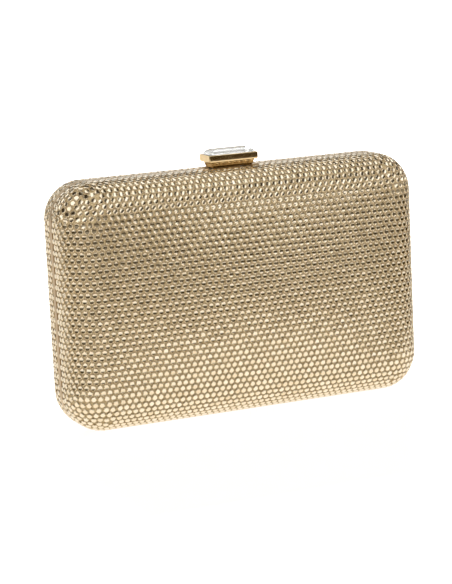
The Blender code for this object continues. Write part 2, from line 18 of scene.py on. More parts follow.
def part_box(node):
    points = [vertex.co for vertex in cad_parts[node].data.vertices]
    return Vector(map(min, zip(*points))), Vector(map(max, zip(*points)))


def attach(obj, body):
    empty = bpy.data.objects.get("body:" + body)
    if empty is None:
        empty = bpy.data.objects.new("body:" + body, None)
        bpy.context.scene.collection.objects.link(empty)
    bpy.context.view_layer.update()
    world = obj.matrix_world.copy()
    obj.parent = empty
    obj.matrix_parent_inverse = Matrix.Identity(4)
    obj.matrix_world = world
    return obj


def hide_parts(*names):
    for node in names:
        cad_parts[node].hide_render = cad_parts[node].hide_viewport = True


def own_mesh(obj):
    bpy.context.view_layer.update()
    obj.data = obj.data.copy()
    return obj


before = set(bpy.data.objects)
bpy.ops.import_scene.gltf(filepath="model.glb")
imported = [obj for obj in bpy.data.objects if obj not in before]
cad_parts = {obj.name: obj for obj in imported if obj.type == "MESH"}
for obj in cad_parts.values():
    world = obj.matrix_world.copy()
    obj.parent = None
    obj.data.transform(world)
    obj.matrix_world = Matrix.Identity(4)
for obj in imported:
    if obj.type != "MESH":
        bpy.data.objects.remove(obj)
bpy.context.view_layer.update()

# ---------------------------------------------------------------- sizes taken from the frame
COVER_LOW, COVER_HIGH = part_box("front_crystal_cover")
WIDTH = COVER_HIGH.x - COVER_LOW.x
HEIGHT = COVER_HIGH.z - COVER_LOW.z
FRAME_LOW, FRAME_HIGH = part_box("back_frame")
LINING_LOW, LINING_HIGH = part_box("back_lining")
LEAF_LOW, LEAF_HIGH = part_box("hinge_leaf_back")
CUP_LOW, CUP_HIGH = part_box("clasp_cup")
STONE_LOW, STONE_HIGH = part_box("clasp_crystal")
PLATE_LOW, PLATE_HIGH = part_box("back_escutcheon")
SEAM = FRAME_LOW.y
FLANGE_DEPTH = FRAME_HIGH.y
LINING_IN = (WIDTH - (LINING_HIGH.x - LINING_LOW.x)) / 2

# ---------------------------------------------------------------- the case, as the CAD has it
CORNER_R = 0.0168  # the outline's corners, seen from the front
SIDE_FLAT = 0.0054  # the flat band from the seam to where each half's edge starts to round
EDGE_R = 0.01355
CORNER_SHRINK = 0.6  # how much the outline's corners tighten as the edge rounds
DOME = 0.0040  # how far the face's middle stands out
GAP = 0.0003
FRAME_T = 0.0009
FLANGE_IN = 0.0040
FLANGE_FACE = FLANGE_IN + FRAME_T
RIM_Y = SEAM + FRAME_T + GAP
RELIEF_X, RELIEF_Y, RELIEF_Z = 0.0780, 0.0022, 0.0019
HINGE_X = LEAF_HIGH.x + 2 * GAP
WINDOW_X = PLATE_HIGH.x + GAP
WINDOW_Y = SIDE_FLAT + GAP
WINDOW_Z = PLATE_LOW.z - 0.0001
PAST = 0.001  # how far a cut reaches past the surface

# what both halves leave free, from the seam plane outwards: the hinge's relief, the clasp's window
RELIEF_BOX = ((-RELIEF_X, 0, -PAST), (RELIEF_X, RELIEF_Y, RELIEF_Z))
WINDOW_BOX = ((-WINDOW_X, 0, WINDOW_Z), (WINDOW_X, WINDOW_Y, HEIGHT + PAST))

CORNERS = ((1, 1), (-1, 1), (-1, -1), (1, -1))  # signs of x and z, anticlockwise
RIM_SEGMENTS = (14, 24, 14)  # a corner's, a long side's and a short side's

# ---------------------------------------------------------------- crystals
FACE_X = WIDTH / 2 - EDGE_R
FACE_Z = HEIGHT / 2 - EDGE_R
FACE_CORNER_R = CORNER_R - CORNER_SHRINK * EDGE_R
EDGE_TURN = EDGE_R * math.pi / 2  # length of the rounding
RIM_ROW_Y = 0.00255  # centre line of the row nearest the seam
EDGE_RUN = EDGE_TURN + SIDE_FLAT - RIM_ROW_Y  # from the face's edge to that row
COLUMNS_EACH_WAY, ROWS_EACH_WAY = 33, 26
PITCH = (FACE_X + EDGE_RUN) / COLUMNS_EACH_WAY
ROW = (FACE_Z + EDGE_RUN) / ROWS_EACH_WAY
STONE_R = 0.00134
DISH_R = 0.00102  # the table, slightly hollow
DISH_DEPTH = 0.00009
CROWN_H = 0.00028
STONE_H = 0.00095
MESH_IN = 0.00055  # the gold mesh between the crystals lies this far inside their tables
TILT = math.radians(0.6)
STONE_SCALES = (0.97, 1.02)
TONE_MEAN, TONE_SPREAD = 0.5, 0.2
CROWN_TONES, DISH_TONES = 0.2, 0.3  # crowns take tones up to the first, tables from the second
FACING = 0.97  # stones whose normal points forward by more than this belong to the face
LOOSE_ZONE = 3 * PITCH  # how far the evened-out corners reach along the sides
EVEN_SPACING = 1.01 * PITCH
LONGEST_PUSH = 0.2 * PITCH
PUSH_SHARE = 0.4
GAP_SPACING, KEPT_SPACING = 0.86 * PITCH, 0.87 * PITCH
GAP_ZONE, GAP_REACH = 0.015, 0.008  # how far in from a corner bare spots are compared, and filled

rng = random.Random(7)


# ---------------------------------------------------------------- node material helpers
def new_material(name):
    material = bpy.data.materials.new(name)
    material.use_nodes = True
    tree = material.node_tree
    shader = tree.nodes["Principled BSDF"]
    return material, tree, shader


def node(tree, kind, **settings):
    made = tree.nodes.new(kind)
    for key, value in settings.items():
        if key in made.inputs:
            made.inputs[key].default_value = value
        else:
            setattr(made, key, value)
    return made


def ramp(tree, factor, stops):
    made = tree.nodes.new("ShaderNodeValToRGB")
    elements = made.color_ramp.elements
    while len(elements) < len(stops):
        elements.new(0.5)
    for element, (place, colour) in zip(elements, stops):
        element.position = place
        element.color = (*colour, 1.0)
    tree.links.new(factor, made.inputs["Fac"])
    return made.outputs["Color"]


def object_coordinates(tree, scale=(1.0, 1.0, 1.0)):
    coordinates = tree.nodes.new("ShaderNodeTexCoord")
    mapping = node(tree, "ShaderNodeMapping", Scale=scale)
    tree.links.new(coordinates.outputs["Object"], mapping.inputs["Vector"])
    return mapping.outputs["Vector"]


def noise(tree, scale, detail, stretch=(1.0, 1.0, 1.0)):
    made = node(tree, "ShaderNodeTexNoise", Scale=scale, Detail=detail)
    tree.links.new(object_coordinates(tree, stretch), made.inputs["Vector"])
    return made.outputs["Fac"]


def paint(tree, socket, factor, stops):
    """Links a colour ramp to a socket."""
    tree.links.new(ramp(tree, factor, stops), socket)


def bump(tree, shader, height, strength, distance):
    made = node(tree, "ShaderNodeBump", Strength=strength, Distance=distance)
    tree.links.new(height, made.inputs["Height"])
    tree.links.new(made.outputs["Normal"], shader.inputs["Normal"])


def grey(value):
    return (value, value, value)


def map_range(tree, value, low, high, interpolation="LINEAR"):
    """0 where the value is `low` and 1 where it is `high`."""
    made = node(tree, "ShaderNodeMapRange", interpolation_type=interpolation)
    made.inputs["From Min"].default_value, made.inputs["From Max"].default_value = low, high
    tree.links.new(value, made.inputs["Value"])
    return made.outputs["Result"]


def multiply(tree, first, second):
    made = node(tree, "ShaderNodeMath", operation="MULTIPLY")
    tree.links.new(first, made.inputs[0])
    tree.links.new(second, made.inputs[1])
    return made.outputs["Value"]


def band(tree, value, low, high, ease):
    """1 where the value is between low and high, falling to 0 within `ease` outside them."""
    rise = map_range(tree, value, low - ease, low, "SMOOTHSTEP")
    fall = map_range(tree, value, high + ease, high, "SMOOTHSTEP")
    return multiply(tree, rise, fall)


def blend(tree, factor, first, second):
    """From the first colour to the second; the second may be a plain colour."""
    made = node(tree, "ShaderNodeMix", data_type="RGBA")
    tree.links.new(factor, made.inputs["Factor"])
    tree.links.new(first, made.inputs[6])
    if isinstance(second, tuple):
        made.inputs[7].default_value = second
    else:
        tree.links.new(second, made.inputs[7])
    return made.outputs[2]


# ---------------------------------------------------------------- materials
def crystal_material():
    """Foiled champagne stones: mirror-bright tables and duller crowns, each a little different."""
    material, tree, shader = new_material("champagne_crystals")
    tone = node(tree, "ShaderNodeAttribute", attribute_name="tone").outputs["Fac"]
    tones = [
        (0.0, (0.79, 0.67, 0.48)),
        (CROWN_TONES, (0.85, 0.73, 0.54)),
        (DISH_TONES, (0.84, 0.71, 0.50)),
        (0.65, (0.91, 0.79, 0.59)),
        (1.0, (0.97, 0.87, 0.69)),
    ]
    rough = [(0.0, grey(0.22)), (DISH_TONES, grey(0.14)), (1.0, grey(0.08))]
    paint(tree, shader.inputs["Base Color"], tone, tones)
    paint(tree, shader.inputs["Roughness"], tone, rough)
    shader.inputs["Metallic"].default_value = 1.0
    shader.inputs["Coat Weight"].default_value = 0.1
    shader.inputs["Coat Roughness"].default_value = 0.03
    shader.inputs["Coat IOR"].default_value = 1.56
    return material


def mesh_material():
    """The fine gold chain mesh that shows between the crystals."""
    material, tree, shader = new_material("gold_mesh")
    cells = node(tree, "ShaderNodeTexVoronoi", Scale=1400.0)
    tree.links.new(object_coordinates(tree), cells.inputs["Vector"])
    colours = [(0.0, (0.67, 0.53, 0.32)), (0.6, (0.43, 0.32, 0.165))]
    paint(tree, shader.inputs["Base Color"], cells.outputs["Distance"], colours)
    shader.inputs["Metallic"].default_value = 0.6
    shader.inputs["Roughness"].default_value = 0.45
    bump(tree, shader, cells.outputs["Distance"], 0.6, 0.0002)
    return material


def gold_material(name, colour, dark, roughness, grain):
    """Plated gold, with faint clouding in its colour and fine polishing marks in its gloss."""
    material, tree, shader = new_material(name)
    cloud = noise(tree, 140.0, 3.0)
    paint(tree, shader.inputs["Base Color"], cloud, [(0.3, dark), (0.7, colour)])
    marks = noise(tree, 900.0, 4.0, grain)
    low, high = max(roughness - 0.05, 0.03), roughness + 0.08
    paint(tree, shader.inputs["Roughness"], marks, [(0.3, grey(low)), (0.75, grey(high))])
    shader.inputs["Metallic"].default_value = 1.0
    bump(tree, shader, marks, 0.05, 0.00005)
    return material


def satin_material():
    """Champagne satin: a fine twill weave, with slubs drawn out along it."""
    material, tree, shader = new_material("champagne_satin")
    weave = node(tree, "ShaderNodeTexWave", Scale=1200.0, Distortion=0.8)
    weave.wave_type, weave.bands_direction = "BANDS", "DIAGONAL"
    tree.links.new(object_coordinates(tree), weave.inputs["Vector"])
    slubs = noise(tree, 900.0, 3.0, (0.08, 1.0, 1.0))
    colours = [(0.3, (0.47, 0.34, 0.20)), (0.7, (0.60, 0.45, 0.28))]
    paint(tree, shader.inputs["Base Color"], slubs, colours)
    paint(tree, shader.inputs["Roughness"], slubs, [(0.3, grey(0.36)), (0.7, grey(0.46))])
    shader.inputs["Sheen Weight"].default_value = 0.25
    shader.inputs["Sheen Roughness"].default_value = 0.3
    shader.inputs["Specular IOR Level"].default_value = 0.6
    bump(tree, shader, weave.outputs["Fac"], 0.2, 0.00005)
    return material


def steel_material():
    material, tree, shader = new_material("bright_steel")
    marks = noise(tree, 700.0, 3.0, (1.0, 1.0, 6.0))
    paint(tree, shader.inputs["Base Color"], marks, [(0.3, grey(0.50)), (0.7, grey(0.66))])
    paint(tree, shader.inputs["Roughness"], marks, [(0.3, grey(0.2)), (0.7, grey(0.34))])
    shader.inputs["Metallic"].default_value = 1.0
    return material


def board_material(name, light, dark, roughness):
    material, tree, shader = new_material(name)
    fibres = noise(tree, 500.0, 6.0, (1.0, 1.0, 3.0))
    paint(tree, shader.inputs["Base Color"], fibres, [(0.3, dark), (0.7, light)])
    shader.inputs["Roughness"].default_value = roughness
    bump(tree, shader, fibres, 0.3, 0.0001)
    return material


def clear_crystal_material():
    """Cut glass with the faintest haze inside, so that its facets catch the light."""
    material, tree, shader = new_material("clear_crystal")
    haze = noise(tree, 300.0, 2.0)
    colours = [(0.3, (0.93, 0.95, 0.93)), (0.7, (0.99, 0.99, 0.97))]
    paint(tree, shader.inputs["Base Color"], haze, colours)
    shader.inputs["Roughness"].default_value = 0.0
    shader.inputs["IOR"].default_value = 1.56
    shader.inputs["Transmission Weight"].default_value = 0.82
    return material


def foil_material():
    material, tree, shader = new_material("crystal_foil")
    ripple = noise(tree, 350.0, 2.0)
    colours = [(0.3, (0.80, 0.79, 0.74)), (0.7, (0.92, 0.91, 0.88))]
    paint(tree, shader.inputs["Base Color"], ripple, colours)
    shader.inputs["Metallic"].default_value = 1.0
    shader.inputs["Roughness"].default_value = 0.12
    bump(tree, shader, ripple, 0.2, 0.0001)
    return material


CRYSTALS = crystal_material()
GOLD_MESH = mesh_material()
POLISHED_GOLD = gold_material(
    "polished_gold", (0.93, 0.72, 0.42), (0.86, 0.64, 0.35), 0.09, (1.0, 8.0, 8.0)
)
SEAM_GOLD = gold_material(
    "seam_gold", (0.80, 0.63, 0.43), (0.70, 0.54, 0.35), 0.34, (1.0, 6.0, 1.0)
)
SATIN_GOLD = gold_material(
    "satin_gold", (0.82, 0.63, 0.37), (0.72, 0.54, 0.30), 0.32, (10.0, 1.0, 1.0)
)
SATIN = satin_material()
STEEL = steel_material()
BOARD = board_material("grey_board", (0.60, 0.52, 0.42), (0.48, 0.41, 0.32), 0.9)
MOULDING = board_material("case_moulding", (0.56, 0.46, 0.33), (0.50, 0.41, 0.29), 0.5)
CLEAR_CRYSTAL = clear_crystal_material()
FOIL = foil_material()


# ---------------------------------------------------------------- mesh helpers
def add_mesh(name, mesh, material):
    obj = bpy.data.objects.new(name, mesh)
    bpy.context.scene.collection.objects.link(obj)
    mesh.materials.append(material)
    return obj


def mesh_from(name, bm):
    mesh = bpy.data.meshes.new(name)
    bm.to_mesh(mesh)
    bm.free()
    return mesh


def evaluated_mesh(obj):
    graph = bpy.context.evaluated_depsgraph_get()
    return bpy.data.meshes.new_from_object(obj.evaluated_get(graph))


def apply_modifiers(obj):
    """Replaces the mesh with the one that its modifiers make."""
    made = evaluated_mesh(obj)
    obj.modifiers.clear()
    obj.data = made


def cut_boxes(obj, boxes):
    """Takes boxes, each given by its low and high corners, out of an object."""
    cutters = []
    for low, high in boxes:
        low, high = Vector(low), Vector(high)
        bm = bmesh.new()
        placed = Matrix.Translation((low + high) / 2) @ Matrix.Diagonal((*(high - low), 1.0))
        bmesh.ops.create_cube(bm, size=1.0, matrix=placed)
        cutter = bpy.data.objects.new("cutter", mesh_from("cutter", bm))
        bpy.context.scene.collection.objects.link(cutter)
        boolean = obj.modifiers.new("cut", "BOOLEAN")
        boolean.operation = "DIFFERENCE"
        boolean.object = cutter
        cutters.append(cutter)
    bpy.context.view_layer.update()
    apply_modifiers(obj)
    for cutter in cutters:
        bpy.data.objects.remove(cutter, do_unlink=True)


def both_sides(boxes):
    """The same boxes for the front and the back: each reaches from the seam plane outwards."""
    return [((low[0], -high[1], low[2]), high) for low, high in boxes]


def smooth(obj, angle_deg=35.0):
    obj.data.shade_smooth()
    obj.data.set_sharp_from_angle(angle=math.radians(angle_deg))


# ---------------------------------------------------------------- the case's surface
def rounded_outline(half_w, half_h, radius, corner_segments, side_segments):
    """(x, z) points of a rounded rectangle about the origin, anticlockwise from +X."""
    points = []
    for quarter, (sx, sz) in enumerate(CORNERS):
        centre = Vector((sx * (half_w - radius), sz * (half_h - radius)))
        for step in range(corner_segments + 1):
            angle = math.radians(90) * (quarter + step / corner_segments)
            points.append(centre + radius * Vector((math.cos(angle), math.sin(angle))))
        next_sx, next_sz = CORNERS[(quarter + 1) % 4]
        turn = math.radians(90) * (quarter + 1)
        next_centre = Vector((next_sx * (half_w - radius), next_sz * (half_h - radius)))
        following = next_centre + radius * Vector((math.cos(turn), math.sin(turn)))
        count = side_segments[quarter % 2]
        points += [points[-1].lerp(following, step / count) for step in range(1, count)]
    return points


def case_outline(inset, drop, segments):
    corner_segments, long_segments, short_segments = segments
    radius = CORNER_R - inset - CORNER_SHRINK * drop
    half_w, half_h = WIDTH / 2 - inset - drop, HEIGHT / 2 - inset - drop
    return rounded_outline(half_w, half_h, radius, corner_segments, (long_segments, short_segments))


def dome_height(x, z):
    return DOME * (1 - (2 * x / WIDTH) ** 2) * (1 - (2 * z / HEIGHT) ** 2)


def tray_rings(inset, rim_y, segments, edge_steps, face_scales):
    """Rings of one half's surface at an inset: from its rim, round the edge, over the face."""
    edge = EDGE_R - inset
    rings = []
    rim = case_outline(inset, 0.0, segments)
    for y in (rim_y, (rim_y + SIDE_FLAT) / 2, SIDE_FLAT):
        rings.append([Vector((x, y, z + HEIGHT / 2)) for x, z in rim])
    for step in range(1, edge_steps + 1):
        angle = math.radians(90) * step / edge_steps
        ring = []
        for x, z in case_outline(inset, edge * (1 - math.cos(angle)), segments):
            y = SIDE_FLAT + (edge + dome_height(x, z)) * math.sin(angle)
            ring.append(Vector((x, y, z + HEIGHT / 2)))
        rings.append(ring)
    for scale in face_scales:
        ring = []
        for x, z in case_outline(inset, edge, segments):
            y = SIDE_FLAT + edge + dome_height(x * scale, z * scale)
            ring.append(Vector((x * scale, y, z * scale + HEIGHT / 2)))
        rings.append(ring)
    rings.append([Vector((0.0, SIDE_FLAT + edge + DOME, HEIGHT / 2))])
    return rings


def skin(name, rings, side, material):
    """An open surface through the rings; side +1 is the back half, -1 the front."""
    bm = bmesh.new()
    loops = [[bm.verts.new((p.x, side * p.y, p.z)) for p in ring] for ring in rings]
    for first, second in zip(loops, loops[1:]):
        count = len(first)
        for index in range(count):
            following = (index + 1) % count
            if len(second) == 1:
                corners = [first[index], second[0], first[following]]
            else:
                corners = [first[index], second[index], second[following], first[following]]
            bm.faces.new(corners if side > 0 else corners[::-1])
    return add_mesh(name, mesh_from(name, bm), material)


def thicken(obj, thickness):
    solidify = obj.modifiers.new("thickness", "SOLIDIFY")
    solidify.thickness = thickness
    solidify.offset = -1.0
    solidify.use_even_offset = True
    bpy.context.view_layer.update()
    apply_modifiers(obj)


# ---------------------------------------------------------------- where the crystals go
class Surface:
    """The back half's outer surface as a fine mesh, for the nearest point and its smooth normal."""

    def __init__(self):
        scales = [1 - step / 10 for step in range(1, 10)]
        rings = tray_rings(0.0, 0.0, (16, 40, 24), 16, scales)
        self.guide = skin("crystal_guide", rings, 1, CRYSTALS)
        mesh = self.guide.data
        self.normals = [vertex.normal.copy() for vertex in mesh.vertices]
        self.places = [vertex.co.copy() for vertex in mesh.vertices]
        self.faces = [tuple(polygon.vertices) for polygon in mesh.polygons]
        self.tree = BVHTree.FromPolygons(self.places, self.faces)

    def nearest(self, point):
        place, _, index, _ = self.tree.find_nearest(point)
        corners = self.faces[index]
        weights = poly_3d_calc([self.places[i] for i in corners], place)
        normal = sum((self.normals[i] * w for i, w in zip(corners, weights)), Vector())
        return place, normal.normalized()

    def remove(self):
        bpy.data.objects.remove(self.guide, do_unlink=True)


def edge_profile(run):
    """(drop, y share, y offset) of the point `run` along the surface from the face's edge."""
    if run >= EDGE_TURN:
        return 0.0, 0.0, SIDE_FLAT - (run - EDGE_TURN)
    angle = math.pi / 2 - run / EDGE_R
    return EDGE_R * (1 - math.cos(angle)), math.sin(angle), SIDE_FLAT


def on_edge(x, z, share, offset):
    return Vector((x, offset + (EDGE_R + dome_height(x, z)) * share, z + HEIGHT / 2))


def lattice_point(s, t):
    """A point of the crystal sheet, s across and t up from its middle, or None at a corner."""
    run_x, run_z = abs(s) - FACE_X, abs(t) - FACE_Z
    sign_x, sign_z = math.copysign(1, s), math.copysign(1, t)
    from_corner_x, from_corner_z = run_x + FACE_CORNER_R, run_z + FACE_CORNER_R
    if run_x <= 0 and run_z <= 0:
        in_corner = from_corner_x > 0 and from_corner_z > 0
        if in_corner and math.hypot(from_corner_x, from_corner_z) > FACE_CORNER_R:
            return None
        return Vector((s, SIDE_FLAT + EDGE_R + dome_height(s, t), t + HEIGHT / 2))
    if run_x > 0 and run_z > 0:
        return None
    run = max(run_x, run_z)
    drop, share, offset = edge_profile(run)
    radius = CORNER_R - CORNER_SHRINK * drop
    if run_z > 0:
        if abs(s) > WIDTH / 2 - drop - radius:
            return None
        return on_edge(s, sign_z * (HEIGHT / 2 - drop), share, offset)
    if abs(t) > HEIGHT / 2 - drop - radius:
        return None
    return on_edge(sign_x * (WIDTH / 2 - drop), t, share, offset)


def corner_points():
    """Crystals round one corner, in rows that carry on from those along the top."""
    points = []
    for row in range(ROWS_EACH_WAY + 1):
        run = row * ROW - FACE_Z
        if run < 0:
            continue
        drop, share, offset = edge_profile(run)
        radius = CORNER_R - CORNER_SHRINK * drop
        centre_x, centre_z = WIDTH / 2 - drop - radius, HEIGHT / 2 - drop - radius
        count = max(1, round(radius * math.pi / 2 / PITCH))
        for step in range(count):
            angle = (step + 0.5) / count * math.pi / 2
            x, z = centre_x + radius * math.cos(angle), centre_z + radius * math.sin(angle)
            points.append(on_edge(x, z, share, offset))
    return points


def crystal_places(surface):
    """Centres of the back half's crystals: a staggered lattice, evened out at corners and sides."""
    fixed, loose = [], []
    for row in range(-ROWS_EACH_WAY, ROWS_EACH_WAY + 1):
        shift = 0.5 * (row % 2)
        for column in range(-COLUMNS_EACH_WAY, COLUMNS_EACH_WAY + 1):
            s, t = (column + shift) * PITCH, row * ROW
            if abs(s) - FACE_X > EDGE_RUN + 0.1 * PITCH:
                continue
            point = lattice_point(s, t)
            if point is None:
                continue
            past_x, past_z = abs(s) - FACE_X, abs(t) - FACE_Z
            near_corner = max(past_x, past_z) > -PITCH and min(past_x, past_z) > -LOOSE_ZONE
            (loose if near_corner else fixed).append(point)
    for x, z in CORNERS:
        for point in corner_points():
            loose.append(Vector((x * point.x, point.y, HEIGHT / 2 + z * (point.z - HEIGHT / 2))))
    loose = even_out(fixed, loose, surface)
    loose = even_out(fixed, loose + fill_gaps(fixed + loose, surface), surface)
    return fixed + drop_crowded(fixed, loose)


def point_tree(points):
    tree = KDTree(len(points))
    for index, point in enumerate(points):
        tree.insert(point, index)
    tree.balance()
    return tree


def even_out(fixed, loose, surface, rounds=50):
    """Pushes crowded crystals apart along the surface."""
    points = loose
    for _ in range(rounds):
        tree = point_tree(points + fixed)
        moved = []
        for index, point in enumerate(points):
            push = Vector()
            for other, other_index, distance in tree.find_range(point, EVEN_SPACING):
                if other_index != index and distance > 1e-7:
                    push += (point - other) * ((EVEN_SPACING - distance) / distance)
            if push.length > LONGEST_PUSH:
                push.length = LONGEST_PUSH
            place, _ = surface.nearest(point + PUSH_SHARE * push)
            place.y = max(place.y, RIM_ROW_Y)
            moved.append(place)
        points = moved
    return points


def fill_gaps(points, surface, tries=2500):
    """New crystals for bare spots round the corners."""
    added = []
    for x, z in CORNERS:
        near = []
        for p in points:
            if x * p.x > FACE_X - GAP_ZONE and z * (p.z - HEIGHT / 2) > FACE_Z - GAP_ZONE:
                near.append(p)
        for _ in range(tries):
            guess = Vector(
                (
                    x * rng.uniform(FACE_X - GAP_REACH, WIDTH / 2),
                    rng.uniform(RIM_ROW_Y, SIDE_FLAT + EDGE_R + 0.001),
                    HEIGHT / 2 + z * rng.uniform(FACE_Z - GAP_REACH, HEIGHT / 2),
                )
            )
            place, _ = surface.nearest(guess)
            if place.y < RIM_ROW_Y:
                continue
            if all((place - other).length > GAP_SPACING for other in near):
                near.append(place)
                added.append(place)
    return added


def drop_crowded(fixed, loose):
    """Leaves out the loose crystals that still overlap another."""
    kept = []
    tree = point_tree(fixed)
    for point in loose:
        clear = all((point - other).length > KEPT_SPACING for other in kept)
        if clear and tree.find(point)[2] > KEPT_SPACING:
            kept.append(point)
    return kept


def clear_of_openings(point):
    """False where the hinge relief or the clasp's window leaves no room for a crystal."""
    x, y, z = abs(point.x), point.y, point.z
    if z < 2 * RELIEF_Z and x < RELIEF_X + STONE_R and y < RELIEF_Y + STONE_R:
        return False
    return not (z > WINDOW_Z - 0.001 and x < WINDOW_X + STONE_R and y < WINDOW_Y + 0.9 * STONE_R)


# ---------------------------------------------------------------- crystals as meshes
def stone_template():
    """One flat-backed stone about +Z: a shallow dish, which shines as foil does, and its facets.

    Returns its points, its faces and how many of those, the first ones, make the dish.
    """
    sides = 8
    rings = [[(0.0, 0.0, -DISH_DEPTH)]]
    levels = ((DISH_R, 0.0, 0.0), (STONE_R, -CROWN_H, 0.5), (STONE_R, -STONE_H, 0.5))
    for radius, height, turn in levels:
        angles = [2 * math.pi * (index + turn) / sides for index in range(sides)]
        rings.append([(radius * math.cos(a), radius * math.sin(a), height) for a in angles])
    ridge, girdle, foot = 1, 1 + sides, 1 + 2 * sides
    pairs = [(index, (index + 1) % sides) for index in range(sides)]
    faces = [(0, ridge + a, ridge + b) for a, b in pairs]
    faces += [(ridge + a, girdle + a, ridge + b) for a, b in pairs]
    faces += [(ridge + b, girdle + a, girdle + b) for a, b in pairs]
    faces += [(girdle + a, foot + a, foot + b, girdle + b) for a, b in pairs]
    faces.append(tuple(reversed(range(foot, foot + sides))))
    return np.array([p for ring in rings for p in ring]), faces, sides


def build_crystals(name, places, side):
    """All the crystals of one area as one mesh, each with its own tilt, turn and tone."""
    template, faces, dish_faces = stone_template()
    vertices, tones = [], []
    for place, normal in places:
        place = Vector((place.x, side * place.y, place.z))
        normal = Vector((normal.x, side * normal.y, normal.z))
        along = Vector((1, 0, 0)) if abs(normal.x) < 0.8 else Vector((0, 0, 1))
        across = normal.cross(along).normalized()
        along = across.cross(normal)
        tilted = (normal + along * rng.gauss(0, TILT) + across * rng.gauss(0, TILT)).normalized()
        spin = rng.uniform(0, 2 * math.pi)
        u = (along * math.cos(spin) + across * math.sin(spin)).cross(tilted).normalized()
        v = tilted.cross(u)
        basis = np.array([u, v, tilted])
        size = rng.uniform(*STONE_SCALES)
        vertices.append(template * (size, size, 1.0) @ basis + np.array(place))
        tones.append(min(max(rng.gauss(TONE_MEAN, TONE_SPREAD), 0.0), 1.0))
    count = len(template)
    starts = range(0, count * len(places), count)
    all_faces = [tuple(start + i for i in face) for start in starts for face in faces]
    mesh = bpy.data.meshes.new(name)
    mesh.from_pydata(np.concatenate(vertices).tolist(), [], all_faces)
    smooth_faces = [index < dish_faces for index in range(len(faces))]
    mesh.polygons.foreach_set("use_smooth", smooth_faces * len(places))
    ends = np.empty(2 * len(mesh.edges), np.int32)
    mesh.edges.foreach_get("vertices", ends)
    within_dish = (ends.reshape(-1, 2) % count == 0).any(axis=1)
    mesh.edges.foreach_set("use_edge_sharp", ~within_dish)
    tone = mesh.attributes.new("tone", "FLOAT", "FACE")
    tones = np.array(tones, np.float32)[:, None]
    of_dish = DISH_TONES + (1 - DISH_TONES) * tones
    of_crown = CROWN_TONES * tones
    tone.data.foreach_set("value", np.where(smooth_faces, of_dish, of_crown).ravel())
    return add_mesh(name, mesh, CRYSTALS)


def cover_half(prefix, side, places):
    """Gold mesh and crystals of one half, in the place of its CAD cover."""
    scales = [1 - step / 8 for step in range(1, 8)]
    rings = tray_rings(MESH_IN, RIM_Y, RIM_SEGMENTS, 12, scales)
    ground = skin(prefix + "_gold_mesh", rings, side, GOLD_MESH)
    thicken(ground, 0.0006)
    hinge_box = ((-HINGE_X, 0, -PAST), (HINGE_X, RELIEF_Y, RELIEF_Z + 0.002))
    cut_boxes(ground, both_sides([RELIEF_BOX, hinge_box, WINDOW_BOX]))
    smooth(ground, 40)
    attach(ground, prefix + "_half")
    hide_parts(prefix + "_crystal_cover")
    on_face = [place for place in places if place[1].y > FACING]
    on_edge_band = [place for place in places if place[1].y <= FACING]
    for area, chosen in (("face", on_face), ("edge", on_edge_band)):
        stones = build_crystals(f"{prefix}_crystals_{area}", chosen, side)
        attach(stones, prefix + "_half")


def make_crystals():
    surface = Surface()
    places = [point for point in crystal_places(surface) if clear_of_openings(point)]
    places = [surface.nearest(point) for point in places]
    surface.remove()
    print("crystals on each half:", len(places))
    cover_half("back", 1, places)
    cover_half("front", -1, places)


# ---------------------------------------------------------------- frames
def make_frame(prefix, side):
    """The L-section gold ring of one half: a lip with eased edges and the flange inside."""
    ease = 0.00015
    section = [
        (ease, SEAM),
        (0.0, SEAM + ease),
        (0.0, RIM_Y - 2 * ease),
        (ease, RIM_Y - ease),
        (4 * ease, RIM_Y - ease),
        (5 * ease, SEAM + FRAME_T),
        (FLANGE_IN, SEAM + FRAME_T),
        (FLANGE_IN, FLANGE_DEPTH),
        (FLANGE_FACE - ease, FLANGE_DEPTH),
        (FLANGE_FACE, FLANGE_DEPTH - ease),
        (FLANGE_FACE, SEAM + ease),
        (FLANGE_FACE - ease, SEAM),
    ]
    bm = bmesh.new()
    loops = []
    for inset, y in section:
        outline = case_outline(inset, 0.0, RIM_SEGMENTS)
        loops.append([bm.verts.new((x, side * y, z + HEIGHT / 2)) for x, z in outline])
    for first, second in zip(loops, loops[1:] + loops[:1]):
        for index in range(len(first)):
            following = (index + 1) % len(first)
            corners = [first[index], first[following], second[following], second[index]]
            bm.faces.new(corners[::-1] if side > 0 else corners)
    ring = add_mesh(prefix + "_frame_ring", mesh_from(prefix + "_frame_ring", bm), SEAM_GOLD)
    hinge_box = ((-HINGE_X, 0, -PAST), (HINGE_X, LEAF_LOW.y + 0.0031, FLANGE_FACE + 0.0001))
    cut_boxes(ring, both_sides([RELIEF_BOX, hinge_box, WINDOW_BOX]))
    smooth(ring)
    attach(ring, prefix + "_half")
    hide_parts(prefix + "_frame")


# ---------------------------------------------------------------- linings
SIDE_BAND, SIDE_BLEND = 0.003, 0.004  # from the tray's floor: all face, and then the change to side
FOLD_DEPTH, FOLDS_AROUND = 0.00026, 110
PUFF_HEIGHT, CREASE_HEIGHT = 0.00050, 0.00012
SATIN_T = 0.0004


